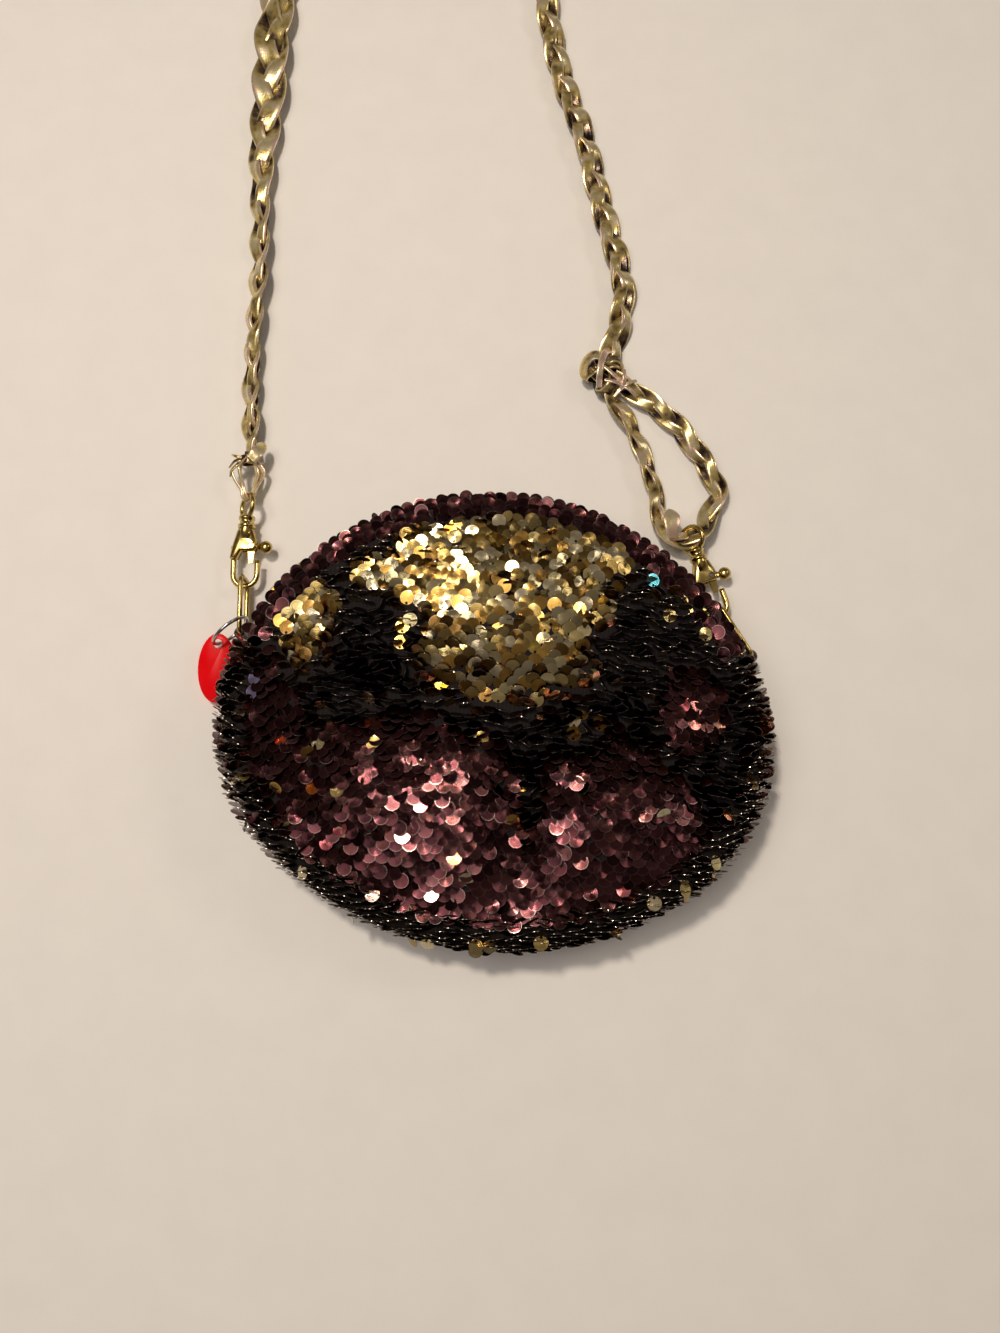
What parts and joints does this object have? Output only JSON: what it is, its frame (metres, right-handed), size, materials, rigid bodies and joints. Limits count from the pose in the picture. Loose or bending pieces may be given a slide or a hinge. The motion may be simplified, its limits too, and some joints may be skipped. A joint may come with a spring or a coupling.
{
  "type": "crossbody purse",
  "caption": "Oval sequinned crossbody purse with a zipped curved top, swivel trigger clasps on strap rings, a braided gold strap and a plain hang tag, lying on its back.",
  "frame": {"origin": "middle of the flat back panel, on the surface that the purse lies on", "axes": "+X to the right across the bag's width, +Y towards the zipped edge, +Z out of the front panel"},
  "size_m": [0.2275, 0.5137, 0.0486],
  "materials": {
    "sequin_cloth": "cloth sewn with rows of two-sided sequins, burgundy on one side and gold on the other",
    "satin_lining": "satin",
    "zip_tape": "woven",
    "zip_metal": "polished",
    "clasp_metal": "polished gold tone",
    "steel": "bright",
    "tab_webbing": "woven tape",
    "tag_red": "gloss",
    "strap_braid": "metallic gold leatherette braid"
  },
  "bodies": {
    "bag": {"front_panel": "sequin_cloth", "back_panel": "sequin_cloth", "lower_gusset": "sequin_cloth", "zip_strip_front": "sequin_cloth", "zip_strip_back": "sequin_cloth", "lining_front": "satin_lining", "lining_back": "satin_lining", "zip_tape_front": "zip_tape", "zip_tape_back": "zip_tape", "zip_teeth_front": "zip_metal", "zip_teeth_back": "zip_metal", "zip_top_stop_front": "zip_metal", "zip_top_stop_back": "zip_metal", "zip_bottom_stop": "zip_metal", "left_tab": "tab_webbing", "right_tab": "tab_webbing", "left_eye": "clasp_metal", "right_eye": "clasp_metal", "left_knot": "strap_braid", "right_knot": "strap_braid", "strap_left": "strap_braid", "strap_coil": "strap_braid", "strap_right": "strap_braid", "strap_loop": "strap_braid", "coil_tie": "strap_braid"},
    "zip_slider": {"zip_slider": "zip_metal"},
    "zip_puller": {"zip_puller": "zip_metal"},
    "tag_ring": {"tag_ring": "steel"},
    "hang_tag": {"hang_tag": "tag_red"},
    "left_ring": {"left_ring": "clasp_metal"},
    "left_hook": {"left_hook": "clasp_metal", "left_trigger_pin": "steel", "left_trigger_spring": "steel"},
    "left_trigger": {"left_trigger": "clasp_metal"},
    "right_ring": {"right_ring": "clasp_metal"},
    "right_hook": {"right_hook": "clasp_metal", "right_trigger_pin": "steel", "right_trigger_spring": "steel"},
    "right_trigger": {"right_trigger": "clasp_metal"}
  },
  "joints": [
    {"name": "zip_travel", "type": "hinge", "parent": "bag", "child": "zip_slider", "pos_m": [0, -0.019, 0.019], "axis": [0, 0, 1], "range_deg": [-104, 0], "deforming": ["zip_teeth_front", "zip_teeth_back"]},
    {"name": "puller_swing", "type": "hinge", "parent": "zip_slider", "child": "zip_puller", "pos_m": [-0.08415, 0.03776, 0.019], "axis": [0, 0, 1], "range_deg": [0, 105]},
    {"name": "left_ring_swing", "type": "hinge", "parent": "bag", "child": "left_ring", "pos_m": [-0.09733, 0.02297, 0.0075], "axis": [0, 0, 1], "range_deg": [-3, 3]},
    {"name": "left_swivel", "type": "hinge", "parent": "bag", "child": "left_hook", "pos_m": [-0.09995, 0.04431, 0.0063], "axis": [-0.1132, 0.9936, 0], "range_deg": [-30, 30]},
    {"name": "left_trigger_press", "type": "hinge", "parent": "left_hook", "child": "left_trigger", "pos_m": [-0.09924, 0.05748, 0.0063], "axis": [0, 0, 1], "range_deg": [-25, 0], "stiffness_Nm_per_rad": 0.01, "springref_deg": 20.05, "deforming": ["left_trigger_spring"]},
    {"name": "right_ring_swing", "type": "hinge", "parent": "bag", "child": "right_ring", "pos_m": [0.0918, 0.034, 0.0075], "axis": [0, 0, 1], "range_deg": [-3, 2.5]},
    {"name": "right_swivel", "type": "hinge", "parent": "bag", "child": "right_hook", "pos_m": [0.07886, 0.05117, 0.0063], "axis": [-0.3907, 0.9205, 0], "range_deg": [-30, 30]},
    {"name": "right_trigger_press", "type": "hinge", "parent": "right_hook", "child": "right_trigger", "pos_m": [0.0758, 0.064, 0.0063], "axis": [0, 0, 1], "range_deg": [-25, 0], "stiffness_Nm_per_rad": 0.01, "springref_deg": 20.05, "deforming": ["right_trigger_spring"]},
    {"name": "tag_ring_swing", "type": "hinge", "parent": "left_ring", "child": "tag_ring", "pos_m": [-0.0978, 0.02675, 0.0125], "axis": [-0.1219, 0.9925, 0], "range_deg": [-4, 35]},
    {"name": "tag_swing", "type": "hinge", "parent": "tag_ring", "child": "hang_tag", "pos_m": [-0.10578, 0.01847, 0.00773], "axis": [-0.2936, -0.304, 0.9063], "range_deg": [-35, 5]}
  ]
}
